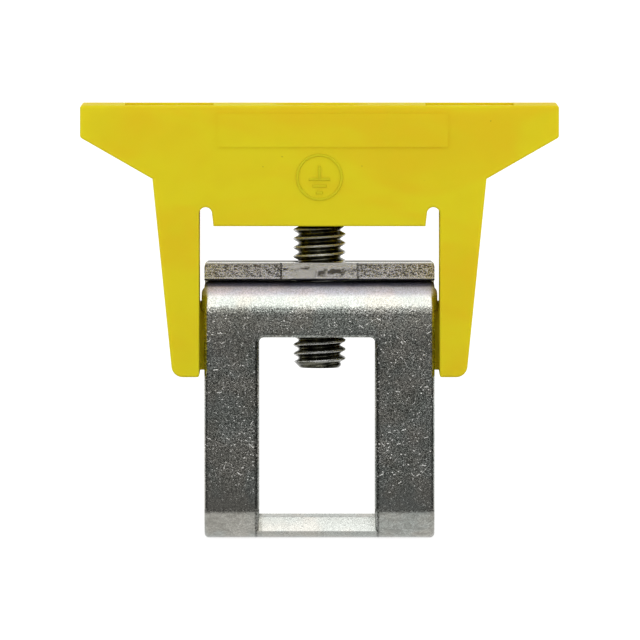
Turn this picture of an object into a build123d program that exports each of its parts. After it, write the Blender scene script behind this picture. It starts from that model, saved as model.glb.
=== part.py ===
"""Busbar earth terminal: a folded steel clamping yoke, its clamping screw and a moulded cap.

Millimetres, +Z up. The origin is the centre of the yoke's bottom face. X runs across the yoke,
along the conductor, and Y runs through the yoke's two windows, along the busbar. The front is -Y.
"""

import os
from math import cos, radians, sin

from build123d import *

near = 0.01  # how close an edge lies to a level to be on it

# Yoke: one steel strip, folded round so that its two ends overlap above the passage
sheet = 1.0  # thickness of the strip
strip_width = 13.0
passage_depth = 4.2  # clear gap between the front and rear panels
passage_height = 12.48  # clear height from the floor to the lower flange
flange_gap = 0.09  # air between the two overlapped flanges
top_bend = 0.75  # inner radii of the folds
bottom_bend = 0.7
edge_roll = 0.25  # rounding that blanking leaves on the strip's outer side
lower_flange_backset = 0.9  # from the lower flange's end to the rear panel
upper_flange_backset = 0.9  # from the upper flange's end to the front panel's face
tie_width = 4.25  # sheared tie left on the upper flange's end
tie_reach = 0.12
burr_width = 0.45  # burrs at the tie's two ends, below its lower edge
burr_drop = 0.07
end_roll = 0.12  # rounding of the upper flange's end, underneath
bulge = 0.16  # metal pushed out sideways at the front fold
bulge_band = 0.68  # how much of the sheet's thickness it takes
bulge_arc = 76.0

# Windows in both panels, for the busbar
window_width = 6.55
window_offset = -0.14  # of the windows' centre, from the yoke's
window_height = 10.37  # above the floor
window_corner = 0.3
window_roll = 0.25  # rounding of the rim on the outer side, as blanking leaves it
sill_angle = 41.0  # how far round the bottom folds the windows stop

# Grooves in the floor, which grip the conductor and stop short of the windows
groove_pitch = 0.54
groove_side = 0.14
groove_length = 3.0

# Clamping screw, M3: its thread is plain here
thread_major = 2.98
thread_length = 9.0
tip_diameter = 2.2
neck_diameter = 2.3
head_diameter = 4.8
head_height = 2.0
head_edge = 0.25
slot_width = 0.8
slot_depth = 1.1
thread_clearance = 0.05  # round the screw in the yoke's hole

# Cap
rest_lift = 2.1  # of the cap's underside above the yoke, at rest
cap_depth = 6.9
cap_width = 27.0
cap_height = 6.81  # from the body's underside to the top
wing_tip_height = 1.8
wing_root_height = 4.14  # from the top down to where a wing meets its leg
wing_top_corner = 0.15
wing_low_corner = 0.2
cap_edge = 0.12

# Legs of the cap, which straddle the yoke
leg_clearance = 0.28
leg_length = 8.52  # below the body's underside
leg_root_width = 2.64  # where the leg meets its wing
foot_width = 1.51
foot_outer_corner = 0.65
foot_inner_corner = 0.13
relief_width = 0.72  # slots that let the legs spring
relief_mouth = 0.8
relief_height = 1.07

# Guide ribs on the legs, which run between the panels and keep the cap on the yoke
rib_clearance = 0.2
rib_reach = 0.6  # past the yoke's side
rib_height = 3.8
rib_foot = 0.34  # from the leg's end up to the rib
rib_chamfer = 0.45

# Screw seat and driver guide in the cap
seat_floor = 0.84
shank_clearance = 0.16
head_clearance = 0.12
head_play = 0.05  # above and below the head
lip_overlap = 0.15
lip_height = 0.6
driver_diameter = 5.0
driver_mouth = 0.3  # chamfer at the top

# Marker pockets in the top, and the bare pad on the front
marker_size = 5.0
marker_depth = 1.2
marker_offset = 8.5
pad_width = 13.0
pad_height = 1.9
pad_offset = 0.76
pad_drop = 0.45
pad_proud = 0.08

# Levels of the yoke
yoke_depth = passage_depth + 2 * sheet
lower_flange_under = sheet + passage_height
upper_flange_under = lower_flange_under + sheet + flange_gap
yoke_top = upper_flange_under + sheet
window_top = sheet + window_height

# Levels of the cap and the screw
cap_under = yoke_top + rest_lift
cap_top = cap_under + cap_height
leg_end = cap_under - leg_length
leg_inner = strip_width / 2 + leg_clearance
head_under = cap_under + seat_floor + head_play
head_top = head_under + head_height
screw_tip = head_under - thread_length
lip_level = head_top + head_play

os.makedirs("parts", exist_ok=True)

# Clamping yoke: the strip's section is swept along its middle line, round all four folds
with BuildPart() as yoke:
    middle = sheet / 2
    panel_middle = passage_depth / 2 + middle
    with BuildLine(Plane.YZ) as fold_line:
        FilletPolyline(
            (passage_depth / 2 - lower_flange_backset, lower_flange_under + middle),
            (-panel_middle, lower_flange_under + middle),
            (-panel_middle, middle),
            (panel_middle, middle),
            (panel_middle, upper_flange_under + middle),
            (upper_flange_backset - yoke_depth / 2, upper_flange_under + middle),
            radius=[bend + middle for bend in (top_bend, bottom_bend, bottom_bend, top_bend)],
        )
    strip_start = Plane(fold_line.line @ 0, x_dir=(1, 0, 0), z_dir=fold_line.line % 0)
    with BuildSketch(strip_start) as strip:
        Rectangle(strip_width, sheet)
        fillet(strip.vertices().group_by(Axis.Y)[-1], edge_roll)
    sweep(path=fold_line.wire())

    # upper flange's end: rounded underneath, with the sheared tie and its burrs
    end_y = upper_flange_backset - yoke_depth / 2
    end_edges = yoke.edges().filter_by(Axis.X).filter_by_position(Axis.Y, end_y - near, end_y + near)
    fillet(end_edges.sort_by(Axis.Z)[0], end_roll)
    tie_low = upper_flange_under + end_roll
    with BuildSketch(Plane.XZ.offset(-end_y)):
        with Locations((0, tie_low)):
            Rectangle(tie_width, sheet - end_roll, align=(Align.CENTER, Align.MIN))
        burr_place = (tie_width - burr_width) / 2
        with Locations((-burr_place, tie_low), (burr_place, tie_low)):
            Rectangle(burr_width, 2 * burr_drop)
    extrude(amount=tie_reach)

    # bulge at each side of the front fold, turned about the fold's axis
    front_fold = (0, top_bend - passage_depth / 2, lower_flange_under - top_bend)
    bulge_start = radians(135 - bulge_arc / 2)
    bulge_plane = Plane(front_fold, x_dir=(1, 0, 0), z_dir=(0, -sin(bulge_start), cos(bulge_start)))
    with BuildSketch(bulge_plane):
        for side in (-1, 1):
            with BuildLine():
                bulge_curve = ThreePointArc(
                    (side * strip_width / 2, top_bend),
                    (side * (strip_width / 2 + bulge), top_bend + bulge_band / 2),
                    (side * strip_width / 2, top_bend + bulge_band),
                )
                Line(bulge_curve @ 1, bulge_curve @ 0)
            make_face()
    revolve(axis=Axis(front_fold, (1, 0, 0)), revolution_arc=bulge_arc)

    # windows: each runs down into its bottom fold and ends in a face square to the sheet
    sill_length = bottom_bend + 2 * sheet
    fold_y = bottom_bend - passage_depth / 2
    fold_z = sheet + bottom_bend
    sill_y = fold_y - sill_length * sin(radians(sill_angle))
    sill_z = fold_z - sill_length * cos(radians(sill_angle))
    with BuildSketch(Plane.YZ.offset(window_offset)):
        with BuildLine():
            Polyline(
                (fold_y, fold_z),
                (sill_y, sill_z),
                (-yoke_depth, sill_z),
                (-yoke_depth, window_top),
                (fold_y, window_top),
                close=True,
            )
        make_face()
        mirror(about=Plane.YZ)
    extrude(amount=window_width / 2, both=True, mode=Mode.SUBTRACT)
    window_corners = yoke.edges().filter_by(Axis.Y)
    fillet(window_corners.filter_by_position(Axis.Z, window_top - near, window_top + near), window_corner)
    panel_faces = yoke.faces().filter_by(Axis.Y).group_by(Axis.Y)
    panel_edges = (panel_faces[0] + panel_faces[-1]).edges()
    window_side = window_width / 2 + near
    rims = panel_edges.filter_by_position(Axis.X, window_offset - window_side, window_offset + window_side)
    fillet(rims.filter_by_position(Axis.Z, fold_z, window_top + near), window_roll)

    # screw hole through both flanges
    with Locations((0, 0, yoke_top)):
        Hole(thread_major / 2 + thread_clearance, depth=2 * sheet + flange_gap + sheet / 2)

    # grooves along the floor
    groove_count = int(window_width / groove_pitch)
    with BuildSketch(Plane.XZ):
        with Locations((window_offset, sheet)):
            with GridLocations(groove_pitch, 1, groove_count, 1):
                Rectangle(groove_side, groove_side, rotation=45)
    extrude(amount=groove_length / 2, both=True, mode=Mode.SUBTRACT)
yoke.part.label = "yoke"

# Clamping screw: slotted cheese head, neck in the cap's floor, and shank
with BuildPart() as clamping_screw:
    tip_chamfer = (thread_major - tip_diameter) / 2
    neck_end = head_under - seat_floor
    with BuildSketch(Plane.XZ) as turned:
        with BuildLine():
            Polyline(
                (0, screw_tip),
                (tip_diameter / 2, screw_tip),
                (thread_major / 2, screw_tip + tip_chamfer),
                (thread_major / 2, neck_end),
                (neck_diameter / 2, neck_end + (thread_major - neck_diameter) / 2),
                (neck_diameter / 2, head_under),
                (head_diameter / 2, head_under),
                (head_diameter / 2, head_top),
                (0, head_top),
                close=True,
            )
        make_face()
    revolve(axis=Axis.Z)
    chamfer(clamping_screw.edges().filter_by(GeomType.CIRCLE).sort_by(Axis.Z)[-1], head_edge)
    with Locations((0, 0, head_top)):
        Box(
            head_diameter,
            slot_width,
            slot_depth,
            align=(Align.CENTER, Align.CENTER, Align.MAX),
            mode=Mode.SUBTRACT,
        )
clamping_screw.part.label = "clamping_screw"

# Cap: its outline from the front, with the bay for the yoke and the slots beside it
with BuildPart() as cap:
    with BuildSketch(Plane.XZ) as outline:
        with BuildLine():
            Polyline(
                (0, cap_top),
                (cap_width / 2, cap_top),
                (cap_width / 2, cap_top - wing_tip_height),
                (leg_inner + leg_root_width, cap_top - wing_root_height),
                (leg_inner + foot_width, leg_end),
                (0, leg_end),
            )
            mirror(about=Plane.YZ)
        make_face()
        with Locations((0, cap_under)):
            Rectangle(2 * leg_inner, leg_length, align=(Align.CENTER, Align.MAX), mode=Mode.SUBTRACT)
        relief_round = relief_width / 2
        relief_centre = cap_under + relief_height - relief_round
        for side in (-1, 1):
            with BuildLine():
                Polyline(
                    (side * leg_inner, cap_under),
                    (side * leg_inner, relief_centre),
                    (side * (leg_inner - relief_width), relief_centre),
                    (side * (leg_inner - relief_mouth), cap_under),
                    close=True,
                )
            make_face(mode=Mode.SUBTRACT)
            with Locations((side * (leg_inner - relief_round), relief_centre)):
                Circle(relief_round, mode=Mode.SUBTRACT)
    extrude(amount=cap_depth / 2, both=True)
    fillet(cap.edges().filter_by(Axis.Y).group_by(Axis.Z)[-1], wing_top_corner)
    for end in (0, -1):
        fillet(cap.edges().filter_by(Axis.Y).group_by(Axis.X)[end].sort_by(Axis.Z)[0], wing_low_corner)
    feet = cap.edges().filter_by(Axis.Y).group_by(Axis.Z)[0].sort_by(Axis.X)
    fillet(feet[1:-1], foot_inner_corner)
    feet = cap.edges().filter_by(Axis.Y).group_by(Axis.Z)[0].sort_by(Axis.X)
    fillet([feet[0], feet[-1]], foot_outer_corner)
    fillet(cap.edges().group_by(Axis.Y)[0] + cap.edges().group_by(Axis.Y)[-1], cap_edge)

    # guide ribs, with a lead-in below and edges that clear the yoke's front and rear folds
    rib_low = leg_end + rib_foot
    rib_inner = strip_width / 2 - rib_reach
    rib_half = passage_depth / 2 - rib_clearance
    for side in (-1, 1):
        with BuildSketch(Plane.YZ.offset(side * leg_inner)) as rib_section:
            with Locations((0, rib_low)):
                Rectangle(2 * rib_half, rib_height, align=(Align.CENTER, Align.MIN))
            chamfer(rib_section.vertices(), rib_chamfer)
        extrude(amount=side * (rib_inner - leg_inner))

    # screw seat, retaining lip and driver guide
    seat_level = cap_under + seat_floor
    shank_room = thread_major / 2 + shank_clearance
    head_room = head_diameter / 2 + head_clearance
    lip_radius = head_diameter / 2 - lip_overlap
    lip_top = lip_level + lip_height
    with BuildSketch(Plane.XZ):
        with BuildLine():
            Polyline(
                (0, cap_under),
                (shank_room, cap_under),
                (shank_room, seat_level),
                (head_room, seat_level),
                (head_room, lip_level),
                (lip_radius, lip_level),
                (lip_radius, lip_top),
                (driver_diameter / 2, lip_top + driver_diameter / 2 - lip_radius),
                (driver_diameter / 2, cap_top - driver_mouth),
                (driver_diameter / 2 + driver_mouth, cap_top),
                (0, cap_top),
                close=True,
            )
        make_face()
    revolve(axis=Axis.Z, mode=Mode.SUBTRACT)

    # marker pockets in the wings
    with BuildSketch(Plane.XY.offset(cap_top)):
        with Locations((-marker_offset, 0), (marker_offset, 0)):
            Rectangle(marker_size, marker_size)
    extrude(amount=-marker_depth, mode=Mode.SUBTRACT)

    # bare pad on the front
    with BuildSketch(Plane.XZ.offset(cap_depth / 2)):
        with Locations((pad_offset, cap_top - pad_drop - pad_height / 2)):
            Rectangle(pad_width, pad_height)
    extrude(amount=pad_proud)
cap.part.label = "cap"

export_step(yoke.part, "parts/yoke.step")
export_step(clamping_screw.part, "parts/clamping_screw.step")
export_step(cap.part, "parts/cap.step")
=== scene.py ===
"""Looks of the busbar earth terminal: a speckled steel yoke, a threaded screw and a yellow cap."""

from math import ceil, cos, pi, radians, sin

import bmesh
import bpy
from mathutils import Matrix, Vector


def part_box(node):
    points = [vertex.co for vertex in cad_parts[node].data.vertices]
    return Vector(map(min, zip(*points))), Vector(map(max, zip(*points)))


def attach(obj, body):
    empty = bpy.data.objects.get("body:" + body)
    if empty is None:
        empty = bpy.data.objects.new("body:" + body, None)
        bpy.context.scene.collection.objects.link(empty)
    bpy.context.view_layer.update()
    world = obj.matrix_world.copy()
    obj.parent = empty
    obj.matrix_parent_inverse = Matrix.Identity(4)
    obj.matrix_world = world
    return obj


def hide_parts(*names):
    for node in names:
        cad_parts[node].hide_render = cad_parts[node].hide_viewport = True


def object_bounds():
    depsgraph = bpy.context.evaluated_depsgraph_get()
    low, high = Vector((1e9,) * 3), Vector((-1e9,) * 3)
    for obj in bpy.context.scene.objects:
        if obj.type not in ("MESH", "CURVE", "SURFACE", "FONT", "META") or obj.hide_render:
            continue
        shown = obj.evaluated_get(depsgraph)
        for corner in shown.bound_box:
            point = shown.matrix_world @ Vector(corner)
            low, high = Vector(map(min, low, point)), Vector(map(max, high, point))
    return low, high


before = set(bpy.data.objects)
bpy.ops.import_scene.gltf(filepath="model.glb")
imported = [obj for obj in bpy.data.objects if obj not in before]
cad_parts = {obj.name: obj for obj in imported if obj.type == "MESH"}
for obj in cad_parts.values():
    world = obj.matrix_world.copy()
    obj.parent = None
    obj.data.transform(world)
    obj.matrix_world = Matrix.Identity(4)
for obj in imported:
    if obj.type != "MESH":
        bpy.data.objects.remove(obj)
cad_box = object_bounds()

MM = 0.001

# The photograph's frame
SENSOR = 36.0  # mm, across the picture
VIEW_DISTANCE = 800.0  # mm, from the camera to what it aims at, on the object's front
VIEW_TILT = 2.35  # degrees, how far it looks down
PICTURE_WIDTH = 36.08  # mm, what the picture spans there
VIEW_X = 0.03
VIEW_HEIGHT = 12.39

# Yoke
SHEET = 1.0  # thickness of its strip
BOTTOM_FOLD = 1.7  # outer radius
TOP_FOLD = 1.75
FLANGE_GAP = 0.09
END_BACKSET = 0.9  # from the panel's face to the upper flange's end
TIE_WIDTH = 4.25
WINDOW_X = -0.14
WINDOW_SIDE = 3.275  # from the window's centre
WINDOW_TOP = 11.37
SILL_WIDTH = 6.4  # of the part of a window's sill painted near white: bare cut steel and a painted highlight
SILL_LOW = 0.4
SILL_TOP = 1.4

# Marks on the yoke, painted shade and highlights among them, in millimetres, and how much of them there
# is
SHADE_LINE_GAP = 0.17  # from a window's side to the painted shade line beside it
SHADE_BEND_LEVEL = 1.6  # level of the painted shade line where the bottom bends start
TIE_SHADE_GAP = 0.04  # from the tie's side to the painted shade beside it
RIM_HEIGHT = 0.08  # of the sheared end's upper rim, painted as a highlight
STEEL_RELIEF = 0.02
TINT_SHARE = 0.7
PAINTED_RIM_HIGHLIGHT = 0.4  # painted highlight added to the torn grain at its rims
SMEAR_SHARE = 0.7  # of long smears in the tie's grain
CRUMB_SHARE = 0.45  # of crumbs there
CRUMB_RELIEF = 5.0  # against the grain's
NICK_RELIEF = 0.6
FACES_AN_AXIS = 0.7  # the least share of a normal along the axis that it faces

# Clamping screw, M3: millimetres, as on the solid that it replaces
THREAD_MAJOR = 2.98
THREAD_PITCH = 0.5
THREAD_DEPTH = 0.3
CREST_FLAT = 0.09
ROOT_FLAT = 0.1
CREST_ROUND = 0.04
ROOT_ROUND = 0.05
CREST_LEVEL = 10.35  # of a crest on the screw's left, as the photograph shows it
TIP_DIAMETER = 2.2
NECK_DIAMETER = 2.3
NECK_LENGTH = 0.84
HEAD_DIAMETER = 4.8
HEAD_HEIGHT = 2.0
HEAD_EDGE = 0.25
SLOT_WIDTH = 0.8
SLOT_DEPTH = 1.1
COLUMNS = 96  # round the screw
ROUND_STEPS = 3
SHARP_ANGLE = 35.0

# Earth sign in relief on the cap's front
SIGN_CENTRE = (0.0, 20.44)
SIGN_RADIUS = 1.25
SIGN_LINE = 0.2
SIGN_PROUD = 0.06
SIGN_SUNK = 0.04
SIGN_STEM = 0.78
SIGN_BARS = (1.24, 0.84, 0.42)
SIGN_STEP = 0.38
SIGN_DROP = 0.12  # of the longest bar below the sign's centre
SIGN_EDGE = 0.05
SIGN_PARTS = 64
CAP_FACE = 0.08  # from the pad's front, which is the cap's foremost, back to the face


# Shader helpers
def new_material(name):
    """An empty node material: its tree and its Principled shader."""
    material = bpy.data.materials.new(name)
    material.use_nodes = True
    tree = material.node_tree
    shader = next(n for n in tree.nodes if n.type == "BSDF_PRINCIPLED")
    return material, tree, shader


def add(tree, kind, settings=None, **inputs):
    """A new node with its settings and inputs."""
    node = tree.nodes.new(kind)
    for key, value in (settings or {}).items():
        setattr(node, key, value)
    connect(tree, node, **inputs)
    return node


def connect(tree, node, **inputs):
    """Sets or links a node's inputs: Base_Color means the one of that name, and i0 the first."""
    for key, value in inputs.items():
        by_number = key[1:].isdigit()
        socket = node.inputs[int(key[1:])] if by_number else node.inputs[key.replace("_", " ")]
        if isinstance(value, bpy.types.NodeSocket):
            tree.links.new(value, socket)
        else:
            socket.default_value = value


def math(tree, operation, a, b=0.0, c=0.0):
    """The result of one math node."""
    return add(tree, "ShaderNodeMath", {"operation": operation}, i0=a, i1=b, i2=c).outputs[0]


def product(tree, first, *others):
    """All the values multiplied."""
    for value in others:
        first = math(tree, "MULTIPLY", first, value)
    return first


def distance(tree, value, level):
    """How far the value is from a level, either way."""
    return math(tree, "ABSOLUTE", math(tree, "SUBTRACT", value, level))


def vector_math(tree, operation, a, b=(0, 0, 0)):
    """The result of one vector math node."""
    node = add(tree, "ShaderNodeVectorMath", {"operation": operation}, i0=a, i1=b)
    return node.outputs["Value" if operation == "LENGTH" else "Vector"]


def stretched(tree, point, *factors):
    """The point with its x, y and z multiplied."""
    return vector_math(tree, "MULTIPLY", point, factors)


def coordinates(tree, point):
    """The point's x, y and z."""
    return add(tree, "ShaderNodeSeparateXYZ", i0=point).outputs


def ramp(tree, value, low, high, to_low=0.0, to_high=1.0):
    """value from low..high eased into to_low..to_high, and held at both ends."""
    node = add(
        tree,
        "ShaderNodeMapRange",
        {"interpolation_type": "SMOOTHSTEP"},
        Value=value,
        From_Min=low,
        From_Max=high,
        To_Min=to_low,
        To_Max=to_high,
    )
    return node.outputs[0]


def blend(tree, share, a, b):
    """The number a, with b's share in it."""
    return add(tree, "ShaderNodeMix", i0=share, i2=a, i3=b).outputs[0]


def mix(tree, share, a, b, how="MIX"):
    """The colour a, with b's share in it."""
    settings = {"data_type": "RGBA", "blend_type": how, "clamp_result": False}
    return add(tree, "ShaderNodeMix", settings, i0=share, i6=a, i7=b).outputs[2]


def tinted(tree, share, base, factors):
    """The base with red, green and blue multiplied by the factors, in a share."""
    return mix(tree, share, base, (*factors, 1.0), "MULTIPLY")


def colour(red, green, blue):
    """A colour of 0 to 255 as it is seen, in the renderer's linear numbers."""
    seen = (red / 255, green / 255, blue / 255)
    linear = [c / 12.92 if c <= 0.04045 else ((c + 0.055) / 1.055) ** 2.4 for c in seen]
    return (*linear, 1.0)


def millimetres(tree):
    """The point on the piece, in millimetres of the shared frame."""
    point = add(tree, "ShaderNodeTexCoord").outputs["Object"]
    return add(tree, "ShaderNodeMapping", Vector=point, Scale=(1 / MM, 1 / MM, 1 / MM)).outputs[0]


def noise(tree, point, per_mm=1.0, detail=2.0, roughness=0.5, distortion=0.0):
    """Noise with per_mm features to the millimetre."""
    node = add(
        tree,
        "ShaderNodeTexNoise",
        Vector=point,
        Scale=per_mm,
        Detail=detail,
        Roughness=roughness,
        Distortion=distortion,
    )
    return node.outputs[0]


def bump(tree, height, depth, strength=1.0):
    """The normal of a relief: height 0 to 1 is depth millimetres."""
    return add(tree, "ShaderNodeBump", Strength=strength, Distance=depth * MM, Height=height).outputs[0]


def flat_point(tree, point):
    """The point unrolled onto whichever plane the surface faces most, for marks that lie in it."""
    normal = add(tree, "ShaderNodeNewGeometry").outputs["True Normal"]
    facing_x, facing_y, _ = coordinates(tree, vector_math(tree, "ABSOLUTE", normal))
    x, y, z = coordinates(tree, point)
    sideways = math(tree, "GREATER_THAN", facing_x, FACES_AN_AXIS)
    upright = math(tree, "GREATER_THAN", facing_y, FACES_AN_AXIS)
    across = blend(tree, sideways, x, y)
    along = blend(tree, sideways, blend(tree, upright, y, z), z)
    return add(tree, "ShaderNodeCombineXYZ", i0=across, i1=along).outputs[0]


def flecks(tree, flat, per_mm, length, width, share):
    """Short straight scratches at random angles, one to a cell, in a share of the cells."""
    point = stretched(tree, flat, per_mm, per_mm, per_mm)
    flat_cells = {"voronoi_dimensions": "2D"}
    cells = add(tree, "ShaderNodeTexVoronoi", flat_cells, Vector=point, Scale=1.0, Randomness=1.0)
    offset = vector_math(tree, "SUBTRACT", point, cells.outputs["Position"])
    turn, reach, chance = add(tree, "ShaderNodeSeparateColor", i0=cells.outputs["Color"]).outputs
    angle = product(tree, turn, 2 * pi)
    turned = add(tree, "ShaderNodeVectorRotate", {"rotation_type": "Z_AXIS"}, Vector=offset, Angle=angle)
    along, beside, _ = coordinates(tree, turned.outputs[0])
    inside = math(tree, "LESS_THAN", math(tree, "ABSOLUTE", along), product(tree, reach, length * per_mm))
    edge = ramp(tree, math(tree, "ABSOLUTE", beside), 0.0, width * per_mm, 1.0, 0.0)
    return product(tree, inside, edge, math(tree, "LESS_THAN", chance, share))


# Colours of the steel, then factors for red, green and blue that change them; several paint light or
# shade
GRAIN_DARK = colour(88, 88, 84)
GRAIN_LIGHT = colour(238, 238, 233)
WARM_TINT = colour(255, 251, 243)
COOL_TINT = colour(245, 252, 250)
# painted cool tint on the fold band, standing in for its bluish reflection
FOLD_REFLECTION_TINT = colour(238, 233, 255)
# bare steel, also the colour of painted highlights
BARE_STEEL_AND_HIGHLIGHT = colour(250, 249, 245)
SMUDGE = colour(128, 126, 118)
# painted shade, for the dark lines beside the windows and at the bottom bends
PAINTED_SHADE_LINE = colour(34, 34, 30)
TORN_DARK = colour(116, 113, 108)
TORN_LIGHT = colour(255, 254, 254)
# painted shade on the upper flange: its end's sides, lower edge and tie, and its top's rear
SIDE_SHADE = colour(52, 50, 46)
LOW_SHADE = colour(36, 35, 38)
TIE_SIDE_SHADE = colour(40, 38, 34)
TOP_SHADE_GREY = colour(92, 91, 87)
DULLED = (0.76, 0.78, 0.77)
# painted highlight on the fold band, painted shade under the flange's end, painted highlight from below
# the fold up
FOLD_HIGHLIGHT = (1.55, 1.55, 1.55)
SHADE_UNDER_END = (0.52, 0.5, 0.58)
BELOW_FOLD_HIGHLIGHT = (1.34, 1.34, 1.32)

# Colours of the screw and the cap
SCREW_DARK = colour(58, 58, 50)
SCREW_OLIVE = colour(124, 123, 107)
# crests bright from wear, also painted as glints
WORN_CREST_AND_GLINT = colour(228, 228, 224)
CAP_WARM = colour(228, 200, 29)
CAP_FRESH = colour(227, 212, 31)
CAP_CLOUD = colour(222, 204, 32)
CAP_SPECK = colour(120, 104, 30)


# Steel of the yoke
class Strip:
    """A point on the yoke's strip: its place, the yoke's levels and what the strip's marks share."""

    def __init__(self, tree):
        low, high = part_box("yoke")
        self.top = high.z / MM
        self.side = high.x / MM
        self.end_low = self.top - SHEET  # the upper flange's underside
        self.end_face = low.y / MM + END_BACKSET  # its sheared end
        self.fold = self.end_low - FLANGE_GAP - TOP_FOLD  # where the front's top fold starts
        self.point = millimetres(tree)
        self.x, self.y, self.z = coordinates(tree, self.point)
        self.from_centre = math(tree, "ABSOLUTE", self.x)
        self.grain = noise(tree, self.point, per_mm=11.0, detail=3.0, roughness=0.75, distortion=0.4)
        crumbled = stretched(tree, self.point, 8.5, 8.5, 12.0)
        self.crumbs = noise(tree, crumbled, detail=3.0, roughness=0.8)
        self.contrast = self.grain_contrast(tree)
        # bright scratches and dents, painted bright partly as painted glints
        self.nicks_and_glints = self.bright_nicks_and_glints(tree)
        self.front_fold = product(
            tree,
            ramp(tree, self.z, self.end_low, self.end_low - 0.05),
            ramp(tree, self.y, 0.0, -0.5),
        )
        self.rolled = product(tree, ramp(tree, self.z, self.fold + 0.8, self.fold + 1.2), self.front_fold)
        self.on_end = product(
            tree,
            ramp(tree, self.z, self.end_low - 0.06, self.end_low),
            ramp(tree, self.y, self.end_face + 0.1, self.end_face + 0.04),
        )
        self.top_rim = ramp(tree, self.z, self.top - RIM_HEIGHT, self.top - RIM_HEIGHT + 0.03)
        self.on_top = ramp(tree, self.z, self.top - 0.02, self.top - 0.005)
        self.top_front = ramp(tree, self.y, 0.2, -1.8)

    def grain_contrast(self, tree):
        """How strongly the grain shows: less in the folds and in patches."""
        patches = noise(tree, self.point, per_mm=0.42, distortion=0.3)
        return product(
            tree,
            ramp(tree, self.z, BOTTOM_FOLD - 0.2, BOTTOM_FOLD + 2.6, to_low=0.3),
            ramp(tree, self.z, self.fold + 0.2, self.fold + 0.6, to_low=1.0, to_high=0.25),
            ramp(tree, patches, 0.35, 0.6, to_low=0.75),
        )

    def bright_nicks_and_glints(self, tree):
        """Long fine scratches and short dents from tumbling, painted bright, partly as painted glints."""
        flat = flat_point(tree, self.point)
        scratches = flecks(tree, flat, per_mm=2.4, length=0.17, width=0.035, share=0.25)
        dents = flecks(tree, flat, per_mm=5.2, length=0.06, width=0.05, share=0.3)
        return product(tree, math(tree, "MAXIMUM", scratches, dents), self.contrast)


def grey_grain(tree, at):
    """The strip's grey mottle, with warmer, cooler and duller patches."""
    mottle = math(tree, "SUBTRACT", ramp(tree, at.grain, 0.36, 0.64), 0.5)
    level = math(tree, "MULTIPLY_ADD", mottle, at.contrast, 0.5)
    base = mix(tree, level, GRAIN_DARK, GRAIN_LIGHT)
    coolness = ramp(tree, noise(tree, at.point, per_mm=0.55), 0.38, 0.62)
    base = mix(tree, TINT_SHARE, base, mix(tree, coolness, WARM_TINT, COOL_TINT), "MULTIPLY")
    patches = noise(tree, at.point, per_mm=0.75, detail=3.0, roughness=0.6, distortion=0.5)
    dulled = product(tree, ramp(tree, patches, 0.4, 0.6), at.contrast)
    return tinted(tree, dulled, base, DULLED)


def fold_shades(tree, at, base):
    """The front fold: painted cool tint and highlight on its band, painted shade right under the upper
    flange's end, and a painted highlight from just below the fold up.
    """
    # painted cool tint on the fold band, standing in for its reflection
    base = mix(tree, at.rolled, base, FOLD_REFLECTION_TINT, "MULTIPLY")
    # painted highlight across the fold band
    fold_highlight = product(
        tree,
        ramp(tree, at.z, at.fold + 0.85, at.fold + 1.05),
        ramp(tree, at.z, at.fold + 1.56, at.fold + 1.4),
        at.rolled,
    )
    base = tinted(tree, fold_highlight, base, FOLD_HIGHLIGHT)
    # painted shade right under the upper flange's end
    shade_under_end = product(tree, ramp(tree, at.z, at.fold + 1.46, at.fold + 1.58), at.front_fold)
    base = tinted(tree, shade_under_end, base, SHADE_UNDER_END)
    # painted highlight: lighter from just below the fold upward
    below_fold_highlight = ramp(tree, at.z, at.fold - 1.5, at.fold - 0.4)
    return tinted(tree, below_fold_highlight, base, BELOW_FOLD_HIGHLIGHT)


def bend_marks(tree, at, base):
    """Smudges in the bottom bends, and the windows' sills painted near white: bare cut steel and a
    painted highlight.
    """
    in_window = ramp(tree, at.from_centre, SILL_WIDTH / 2 + 0.1, SILL_WIDTH / 2)
    flattened = stretched(tree, at.point, 1.0, 1.0, 2.6)
    smudges = noise(tree, flattened, per_mm=1.6, detail=3.0, roughness=0.6, distortion=0.5)
    smudged = product(
        tree,
        ramp(tree, at.z, BOTTOM_FOLD + 0.3, BOTTOM_FOLD - 0.1),
        math(tree, "SUBTRACT", 1.0, in_window),
        ramp(tree, smudges, 0.58, 0.36, to_high=0.4),
    )
    base = mix(tree, smudged, base, SMUDGE)
    # the sills: bare cut steel, painted near white as a painted highlight too
    on_sill = product(
        tree,
        in_window,
        ramp(tree, at.z, SILL_TOP + 0.1, SILL_TOP),
        ramp(tree, at.z, SILL_LOW - 0.1, SILL_LOW, to_high=0.15),
    )
    return mix(tree, on_sill, base, BARE_STEEL_AND_HIGHLIGHT)


def dark_lines(tree, at, base):
    """Painted shade in a line beside each window, and along the start of the bottom bends."""
    from_window = distance(tree, at.x, WINDOW_X)
    # painted shade in a line beside each window
    shade_beside_window = product(
        tree,
        ramp(tree, distance(tree, from_window, WINDOW_SIDE + SHADE_LINE_GAP), 0.04, 0.1, 1.0, 0.0),
        ramp(tree, at.grain, 0.35, 0.55, to_low=1.0, to_high=0.4),
        ramp(tree, at.z, WINDOW_TOP, WINDOW_TOP - 0.3),
    )
    # painted shade along the start of the bottom bends
    shade_at_bend = product(
        tree,
        ramp(tree, distance(tree, at.z, SHADE_BEND_LEVEL), 0.03, 0.13, 1.0, 0.0),
        ramp(tree, at.grain, 0.35, 0.6, to_low=0.8, to_high=0.2),
    )
    return mix(tree, math(tree, "MAXIMUM", shade_beside_window, shade_at_bend), base, PAINTED_SHADE_LINE)


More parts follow.
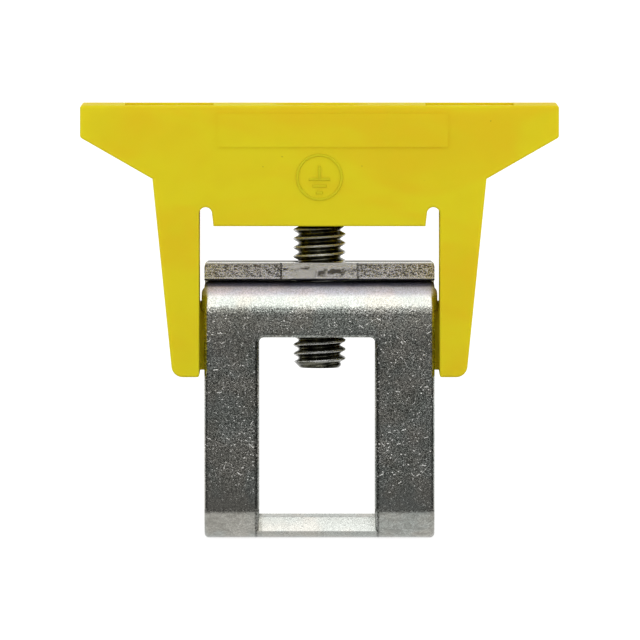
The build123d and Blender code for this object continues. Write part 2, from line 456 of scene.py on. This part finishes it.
def torn_grain(tree, at):
    """How bright the sheared end is: crumbly, smeared on the tie, with painted highlights along its upper
    and lower edges and towards the tie's top.
    """
    on_tie = ramp(tree, at.from_centre, TIE_WIDTH / 2, TIE_WIDTH / 2 - 0.1)
    smears = noise(tree, stretched(tree, at.point, 1.1, 1.1, 2.6))
    smeared = math(tree, "MULTIPLY_ADD", smears, SMEAR_SHARE, product(tree, at.crumbs, CRUMB_SHARE))
    # painted highlight along the end's lower edge
    low_rim_highlight = product(
        tree,
        ramp(tree, at.z, at.end_low + 0.2, at.end_low + 0.16),
        ramp(tree, at.z, at.end_low + 0.08, at.end_low + 0.12),
    )
    torn = blend(tree, on_tie, at.crumbs, smeared)
    # painted highlights along the upper and lower edges
    rim_highlights = math(tree, "MAXIMUM", at.top_rim, low_rim_highlight)
    torn = math(tree, "MULTIPLY_ADD", rim_highlights, PAINTED_RIM_HIGHLIGHT, torn)
    # painted highlight: the tie lighter towards its top
    painted_top_highlight = ramp(tree, at.z, at.top - 0.4, at.top - 0.1, to_low=-0.03, to_high=0.14)
    torn = math(tree, "MULTIPLY_ADD", on_tie, painted_top_highlight, torn)
    return ramp(tree, torn, 0.44, 0.54)


def torn_end(tree, at, base):
    """The upper flange: its torn end with painted shade at its sides, along its lower edge and beside the
    tie, and its top with a painted highlight in front and painted shade behind.
    """
    torn = mix(tree, torn_grain(tree, at), TORN_DARK, TORN_LIGHT)
    base = mix(tree, at.on_end, base, torn)
    # painted shade at the end's sides
    painted_side_shade = product(
        tree,
        ramp(tree, at.from_centre, at.side - 0.11, at.side - 0.08, to_high=0.8),
        ramp(tree, at.z, at.end_low, at.end_low + 0.02),
        ramp(tree, at.y, at.end_face + 0.2, at.end_face + 0.1),
    )
    base = mix(tree, painted_side_shade, base, SIDE_SHADE)
    # painted highlight on the top's front, painted shade on its rear
    top_highlight_and_shade = mix(tree, at.top_front, TOP_SHADE_GREY, BARE_STEEL_AND_HIGHLIGHT)
    base = mix(tree, product(tree, at.on_top, 0.75), base, top_highlight_and_shade)
    # painted shade along the end's lower edge
    low_edge_shade = ramp(tree, at.z, at.end_low + 0.12, at.end_low + 0.07, to_high=0.92)
    base = mix(tree, product(tree, at.on_end, low_edge_shade), base, LOW_SHADE)
    # painted shade beside the tie's sides
    tie_side_shade = product(
        tree,
        ramp(tree, distance(tree, at.from_centre, TIE_WIDTH / 2 + TIE_SHADE_GAP), 0.03, 0.09, 1.0, 0.0),
        ramp(tree, at.crumbs, 0.35, 0.6, to_low=0.9, to_high=0.35),
        at.on_end,
    )
    return mix(tree, tie_side_shade, base, TIE_SIDE_SHADE)


def steel_roughness(tree, at):
    """Polished along the grain, duller in nicks, on the fold's top and on the upper flange's rear."""
    rough = ramp(tree, at.grain, 0.3, 0.7, to_low=0.15, to_high=0.24)
    rough = blend(tree, at.nicks_and_glints, rough, 0.4)
    rough = blend(tree, at.rolled, rough, 0.66)
    rough = blend(tree, at.on_end, rough, 0.2)
    rough = blend(tree, product(tree, at.top_rim, at.on_end), rough, 0.6)
    return blend(tree, at.on_top, rough, blend(tree, at.top_front, 0.6, 0.1))


def steel_relief(tree, at):
    """The grain's height, with crumbs on the torn end and the nicks' raised lips."""
    height = product(tree, at.grain, ramp(tree, at.contrast, 0.0, 1.0, to_low=0.2))
    height = math(tree, "MULTIPLY_ADD", product(tree, at.crumbs, at.on_end), CRUMB_RELIEF, height)
    return math(tree, "MULTIPLY_ADD", at.nicks_and_glints, NICK_RELIEF, height)


def steel_material():
    """Zinc-plated strip, tumbled: a fine grey mottle with bright scratches and dents, partly painted
    glints, and a torn sheared end; highlights and shade are painted on its folds, edges and top.
    """
    material, tree, shader = new_material("speckled_steel")
    at = Strip(tree)
    base = fold_shades(tree, at, grey_grain(tree, at))
    base = dark_lines(tree, at, bend_marks(tree, at, base))
    # scratches and dents painted bright, partly as painted glints
    base = torn_end(tree, at, mix(tree, at.nicks_and_glints, base, BARE_STEEL_AND_HIGHLIGHT))
    connect(
        tree,
        shader,
        Base_Color=base,
        Metallic=1.0,
        Roughness=steel_roughness(tree, at),
        Normal=bump(tree, steel_relief(tree, at), depth=STEEL_RELIEF),
    )
    return material


# Other materials
def screw_material():
    """Olive-black plated screw, its thread's crests bright metal from wear and painted bright as glints
    too.
    """
    material, tree, shader = new_material("olive_screw")
    point = millimetres(tree)
    smear = noise(tree, point, per_mm=1.6, detail=4.0, roughness=0.65, distortion=0.4)
    grain = noise(tree, point, per_mm=12.0, detail=3.0, roughness=0.6)
    base = mix(tree, ramp(tree, smear, 0.35, 0.65), SCREW_DARK, SCREW_OLIVE)
    from_axis = vector_math(tree, "LENGTH", stretched(tree, point, 1, 1, 0))
    # crests bright from wear, partly painted glints
    crest = ramp(tree, from_axis, THREAD_MAJOR / 2 - 0.07, THREAD_MAJOR / 2 - 0.02)
    worn_and_glint = product(tree, crest, ramp(tree, grain, 0.3, 0.55, to_low=0.5))
    connect(
        tree,
        shader,
        Base_Color=mix(tree, worn_and_glint, base, WORN_CREST_AND_GLINT),
        Metallic=ramp(tree, worn_and_glint, 0.0, 1.0, to_low=1.0, to_high=0.75),
        Roughness=ramp(tree, smear, 0.3, 0.7, to_low=0.16, to_high=0.28),
        Normal=bump(tree, grain, depth=0.006, strength=0.5),
    )
    return material


def cap_material():
    """Yellow polyamide: slightly translucent, with soft flow marks, a fine grain and stray specks."""
    material, tree, shader = new_material("yellow_polyamide")
    point = millimetres(tree)
    flow = noise(tree, stretched(tree, point, 0.14, 0.14, 0.3), distortion=0.6)
    cloud = noise(tree, point, per_mm=0.6)
    grain = noise(tree, point, per_mm=16.0)
    base = mix(tree, ramp(tree, flow, 0.35, 0.65), CAP_WARM, CAP_FRESH)
    base = mix(tree, ramp(tree, cloud, 0.42, 0.75, to_high=0.35), base, CAP_CLOUD)
    specks = flecks(tree, flat_point(tree, point), per_mm=0.45, length=0.07, width=0.05, share=0.16)
    connect(
        tree,
        shader,
        Base_Color=mix(tree, product(tree, specks, 0.45), base, CAP_SPECK),
        Subsurface_Weight=0.35,
        Subsurface_Radius=(1.0, 0.75, 0.12),
        Subsurface_Scale=0.9 * MM,
        Specular_IOR_Level=0.1,
        Roughness=ramp(tree, cloud, 0.3, 0.7, to_low=0.64, to_high=0.74),
        Normal=bump(tree, math(tree, "MULTIPLY_ADD", cloud, 6.0, grain), depth=0.004, strength=0.4),
    )
    return material


# Clamping screw
def rounded_corner(before, corner, after, reach):
    """Points that turn a corner along a curve that starts and ends reach away from it."""
    corner = Vector(corner)
    start = corner + (Vector(before) - corner).normalized() * reach
    end = corner + (Vector(after) - corner).normalized() * reach
    points = []
    for step in range(ROUND_STEPS + 1):
        share = step / ROUND_STEPS
        points.append(start * (1 - share) ** 2 + corner * 2 * share * (1 - share) + end * share**2)
    return points


def thread_profile():
    """One pitch of the thread, from the middle of a crest up: height and radius."""
    crest = THREAD_MAJOR / 2
    root = crest - THREAD_DEPTH
    corners = [
        (-CREST_FLAT / 2, crest),
        (CREST_FLAT / 2, crest),
        ((THREAD_PITCH - ROOT_FLAT) / 2, root),
        ((THREAD_PITCH + ROOT_FLAT) / 2, root),
        (THREAD_PITCH - CREST_FLAT / 2, crest),
        (THREAD_PITCH + CREST_FLAT / 2, crest),
    ]
    points = []
    for i, reach in ((1, CREST_ROUND), (2, ROOT_ROUND), (3, ROOT_ROUND), (4, CREST_ROUND)):
        points += rounded_corner(corners[i - 1], corners[i], corners[i + 1], reach)
    return points


def round_vertex(mesh, column, radius, height):
    """A vertex in one of the columns round the screw's axis."""
    angle = 2 * pi * column / COLUMNS
    return mesh.verts.new((radius * cos(angle) * MM, radius * sin(angle) * MM, height * MM))


def ring(mesh, radius, height):
    """Vertices round the screw's axis."""
    return [round_vertex(mesh, column, radius, height) for column in range(COLUMNS)]


def join_rows(mesh, column, beside, shift):
    """Faces between one column of vertices and the next, whose rows are shift further on."""
    for row in range(len(column) - shift - 1):
        around = (column[row], beside[row + shift], beside[row + shift + 1], column[row + 1])
        corners = list(dict.fromkeys(around))
        if len(corners) > 2:
            mesh.faces.new(corners)


def add_thread(mesh, tip_ring, shank_ring, tip, shank_end):
    """The right-hand thread between two rings: its rows climb one pitch in a turn."""
    profile = thread_profile()
    lowest = CREST_LEVEL - THREAD_PITCH / 2
    lowest -= THREAD_PITCH * (ceil((lowest - tip) / THREAD_PITCH) + 2)
    pitches = ceil((shank_end - lowest) / THREAD_PITCH) + 2
    root = THREAD_MAJOR / 2 - THREAD_DEPTH
    columns = []
    for index in range(COLUMNS):
        column = []
        for pitch in range(pitches):
            for level, radius in profile:
                height = lowest + THREAD_PITCH * (pitch + index / COLUMNS) + level
                if height <= tip:
                    column.append(tip_ring[index])
                elif height >= shank_end:
                    column.append(shank_ring[index])
                else:
                    radius = min(radius, TIP_DIAMETER / 2 + height - tip, root + shank_end - height)
                    column.append(round_vertex(mesh, index, radius, height))
        columns.append(column)
    for index in range(COLUMNS - 1):
        join_rows(mesh, columns[index], columns[index + 1], 0)
    join_rows(mesh, columns[-1], columns[0], len(profile))


def add_head(mesh, shank_ring, head_under, head_top):
    """The neck and the head above the thread, without the slot."""
    neck = NECK_DIAMETER / 2
    head = HEAD_DIAMETER / 2
    painted_side_shade = [(neck, head_under), (head, head_under), (head, head_top - HEAD_EDGE)]
    for step in range(1, ROUND_STEPS + 1):
        angle = radians(90 * step / ROUND_STEPS)
        painted_side_shade.append((head - HEAD_EDGE * (1 - cos(angle)), head_top - HEAD_EDGE * (1 - sin(angle))))
    below = shank_ring
    for radius, height in painted_side_shade:
        above = ring(mesh, radius, height)
        for index in range(COLUMNS):
            beside = (index + 1) % COLUMNS
            mesh.faces.new((below[index], below[beside], above[beside], above[index]))
        below = above
    mesh.faces.new(below)


def new_piece(name, mesh, material):
    """An object from a bmesh, smooth but for its sharp edges."""
    data = bpy.data.meshes.new(name)
    bmesh.ops.recalc_face_normals(mesh, faces=mesh.faces)
    for face in mesh.faces:
        face.smooth = True
    for edge in mesh.edges:
        edge.smooth = edge.calc_face_angle(pi) < radians(SHARP_ANGLE)
    mesh.to_mesh(data)
    mesh.free()
    data.materials.append(material)
    piece = bpy.data.objects.new(name, data)
    bpy.context.scene.collection.objects.link(piece)
    return piece


def box_mesh(low, high):
    """A bmesh box between two corners, in millimetres."""
    mesh = bmesh.new()
    bmesh.ops.create_cube(mesh, size=1.0)
    for vertex in mesh.verts:
        shares = [c + 0.5 for c in vertex.co]
        vertex.co = [(a + (b - a) * share) * MM for a, b, share in zip(low, high, shares)]
    return mesh


def cut(piece, cutter):
    """Takes the cutter out of the piece for good."""
    modifier = piece.modifiers.new("cut", "BOOLEAN")
    modifier.operation = "DIFFERENCE"
    modifier.solver = "EXACT"
    modifier.object = cutter
    bpy.context.view_layer.update()
    evaluated = piece.evaluated_get(bpy.context.evaluated_depsgraph_get())
    data = bpy.data.meshes.new_from_object(evaluated)
    piece.modifiers.clear()
    piece.data = data
    bpy.data.objects.remove(cutter)


def make_screw(material):
    """The screw with its real thread, in place of the plain solid."""
    low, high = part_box("clamping_screw")
    tip = low.z / MM
    head_top = high.z / MM
    head_under = head_top - HEAD_HEIGHT
    shank_end = head_under - NECK_LENGTH
    mesh = bmesh.new()
    tip_ring = ring(mesh, TIP_DIAMETER / 2, tip)
    shank_ring = ring(mesh, THREAD_MAJOR / 2 - THREAD_DEPTH, shank_end)
    add_thread(mesh, tip_ring, shank_ring, tip, shank_end)
    mesh.faces.new(reversed(tip_ring))
    add_head(mesh, shank_ring, head_under, head_top)
    screw = new_piece("threaded_screw", mesh, material)
    slot = box_mesh(
        (-HEAD_DIAMETER, -SLOT_WIDTH / 2, head_top - SLOT_DEPTH),
        (HEAD_DIAMETER, SLOT_WIDTH / 2, head_top + SLOT_DEPTH),
    )
    cut(screw, new_piece("slot_cutter", slot, material))
    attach(screw, "screw")
    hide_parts("clamping_screw")


# Earth sign
def add_band(mesh, centre, levels):
    """A ring's band: levels are its section's radii and depths, from the outer foot to the inner foot."""
    x, z = centre
    rows = []
    for part in range(SIGN_PARTS):
        angle = 2 * pi * part / SIGN_PARTS
        places = [(x + radius * cos(angle), depth, z + radius * sin(angle)) for radius, depth in levels]
        rows.append([mesh.verts.new([c * MM for c in place]) for place in places])
    for part, row in enumerate(rows):
        beside = rows[(part + 1) % SIGN_PARTS]
        for index in range(len(levels)):
            after = (index + 1) % len(levels)
            mesh.faces.new((row[index], row[after], beside[after], beside[index]))


def add_bar(mesh, low, high, foot, face):
    """A bar of the sign, from one corner to the other, with slanting edges."""
    x0, z0 = low
    x1, z1 = high
    inset = SIGN_EDGE
    back = [(x0, foot, z0), (x1, foot, z0), (x1, foot, z1), (x0, foot, z1)]
    front = [
        (x0 + inset, face, z0 + inset),
        (x1 - inset, face, z0 + inset),
        (x1 - inset, face, z1 - inset),
        (x0 + inset, face, z1 - inset),
    ]
    back = [mesh.verts.new([c * MM for c in place]) for place in back]
    front = [mesh.verts.new([c * MM for c in place]) for place in front]
    mesh.faces.new(front)
    mesh.faces.new(reversed(back))
    for index in range(len(back)):
        after = (index + 1) % len(back)
        mesh.faces.new((back[index], back[after], front[after], front[index]))


def make_sign(material):
    """A ring round the plain earth symbol, raised as moulded signs are."""
    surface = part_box("cap")[0].y / MM + CAP_FACE
    foot = surface + SIGN_SUNK
    face = surface - SIGN_PROUD
    x, z = SIGN_CENTRE
    half = SIGN_LINE / 2
    mesh = bmesh.new()
    outer = SIGN_RADIUS + half
    inner = SIGN_RADIUS - half
    section = [(outer, foot), (outer - SIGN_EDGE, face), (inner + SIGN_EDGE, face), (inner, foot)]
    add_band(mesh, SIGN_CENTRE, section)
    top_bar = z - SIGN_DROP
    add_bar(mesh, (x - half, top_bar), (x + half, top_bar + SIGN_STEM), foot, face)
    for row, width in enumerate(SIGN_BARS):
        level = top_bar - SIGN_STEP * row
        add_bar(mesh, (x - width / 2, level - half), (x + width / 2, level + half), foot, face)
    sign = new_piece("earth_sign", mesh, material)
    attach(sign, "cap")


steel = steel_material()
olive = screw_material()
yellow = cap_material()
for node, material in (("yoke", steel), ("cap", yellow)):
    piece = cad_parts[node]
    piece.data.materials.clear()
    piece.data.materials.append(material)
make_screw(olive)
make_sign(yellow)


# Studio
WHITE = (1, 1, 1, 1)
BLACK = (0, 0, 0, 1)
FLOOR_GREY = (0.4, 0.4, 0.4, 1)  # the rest of its white is its own light
FLOOR_SIZE = 3.0  # metres
PANEL_LIGHT = 1.6  # strengths of light
HORIZON_LIGHT = 0.1
LOW_LIGHT = 1.55
HIGH_LIGHT = 0.85
SEEN_FLOOR_LIGHT = 0.8
SPREAD_FLOOR_LIGHT = 0.4
NEAR_FLOOR_LIGHT = 0.8
FAR_FLOOR_LIGHT = 0.2
SIDE_FLOOR_LIGHT = 0.05


def make_camera():
    """The photograph's view: square on, from far off and a little above."""
    data = bpy.data.cameras.new("camera")
    data.sensor_width = SENSOR
    data.lens = SENSOR * VIEW_DISTANCE / PICTURE_WIDTH
    data.clip_start = 1 * MM
    camera = bpy.data.objects.new("camera", data)
    bpy.context.scene.collection.objects.link(camera)
    tilt = radians(VIEW_TILT)
    aim = Vector((VIEW_X * MM, cad_box[0].y, VIEW_HEIGHT * MM))
    camera.location = aim + Vector((0, -cos(tilt), sin(tilt))) * VIEW_DISTANCE * MM
    camera.rotation_euler = (radians(90) - tilt, 0, 0)
    bpy.context.scene.camera = camera


def panel_light(tree, sideways, y, z):
    """What metal sees ahead: a bright panel above the camera, darker aside and dark at the horizon."""
    return product(
        tree,
        ramp(tree, z, 0.26, 0.38, to_low=HORIZON_LIGHT, to_high=PANEL_LIGHT),
        ramp(tree, y, -0.5, 0.0, to_low=1.0, to_high=1.35),
        ramp(tree, sideways, 0.3, 0.8, to_low=1.0, to_high=0.3),
    )


def soft_light(tree, sideways, z):
    """What all else sees ahead: even light, weaker from above and from the sides."""
    return product(
        tree,
        ramp(tree, z, 0.0, 0.8, to_low=LOW_LIGHT, to_high=HIGH_LIGHT),
        ramp(tree, sideways, 0.5, 0.95, to_low=1.0, to_high=0.6),
    )


def make_world():
    """A white backdrop behind and soft light ahead, with a bright panel above the camera for metal."""
    world = bpy.data.worlds.new("studio")
    bpy.context.scene.world = world
    world.use_nodes = True
    world.cycles.sampling_method = "NONE"
    tree = world.node_tree
    tree.nodes.clear()
    x, y, z = coordinates(tree, add(tree, "ShaderNodeTexCoord").outputs["Generated"])
    path = add(tree, "ShaderNodeLightPath").outputs
    sideways = math(tree, "ABSOLUTE", x)
    soft = soft_light(tree, sideways, z)
    ahead = blend(tree, path["Is Glossy Ray"], soft, panel_light(tree, sideways, y, z))
    strength = blend(tree, ramp(tree, y, 0.0, 0.35), ahead, 1.0)
    room = add(tree, "ShaderNodeBackground", Color=WHITE, Strength=strength)
    backdrop = add(tree, "ShaderNodeBackground", Color=WHITE, Strength=1.0)
    seen = math(tree, "MAXIMUM", path["Is Camera Ray"], path["Is Transmission Ray"])
    both = add(tree, "ShaderNodeMixShader", i0=seen, i1=room.outputs[0], i2=backdrop.outputs[0])
    add(tree, "ShaderNodeOutputWorld", Surface=both.outputs[0])


def mirrored_floor(tree, point, away):
    """What metal sees of the floor: bright behind and near the object, dim ahead and aside."""
    x, y, _ = coordinates(tree, point)
    sideways = math(tree, "DIVIDE", math(tree, "ABSOLUTE", x), away)
    far = ramp(tree, sideways, 0.4, 0.9, to_low=FAR_FLOOR_LIGHT, to_high=SIDE_FLOOR_LIGHT)
    ahead = vector_math(tree, "LENGTH", stretched(tree, point, 0.4, 1.0, 1.0))
    near = ramp(tree, ahead, 6.5, 10.0, to_low=NEAR_FLOOR_LIGHT, to_high=far)
    return blend(tree, ramp(tree, y, -5.0, 15.0), near, 1.0)


def floor_material():
    """White to the camera but for the object's shadow, and giving little light near the object."""
    material, tree, shader = new_material("white_floor")
    path = add(tree, "ShaderNodeLightPath").outputs
    point = millimetres(tree)
    away = vector_math(tree, "LENGTH", point)
    spread = ramp(tree, away, 5.0, 45.0, to_high=SPREAD_FLOOR_LIGHT)
    lit = blend(tree, path["Is Camera Ray"], spread, SEEN_FLOOR_LIGHT)
    connect(
        tree,
        shader,
        Base_Color=mix(tree, path["Is Glossy Ray"], FLOOR_GREY, BLACK),
        Roughness=1.0,
        Specular_IOR_Level=0.0,
        Emission_Color=WHITE,
        Emission_Strength=blend(tree, path["Is Glossy Ray"], lit, mirrored_floor(tree, point, away)),
    )
    return material


def make_floor():
    """A wide white floor under the object."""
    mesh = bmesh.new()
    bmesh.ops.create_grid(mesh, x_segments=1, y_segments=1, size=FLOOR_SIZE)
    data = bpy.data.meshes.new("floor")
    mesh.to_mesh(data)
    mesh.free()
    data.materials.append(floor_material())
    floor = bpy.data.objects.new("floor", data)
    bpy.context.scene.collection.objects.link(floor)


make_camera()
make_world()
make_floor()
bpy.context.scene.view_settings.view_transform = "Standard"
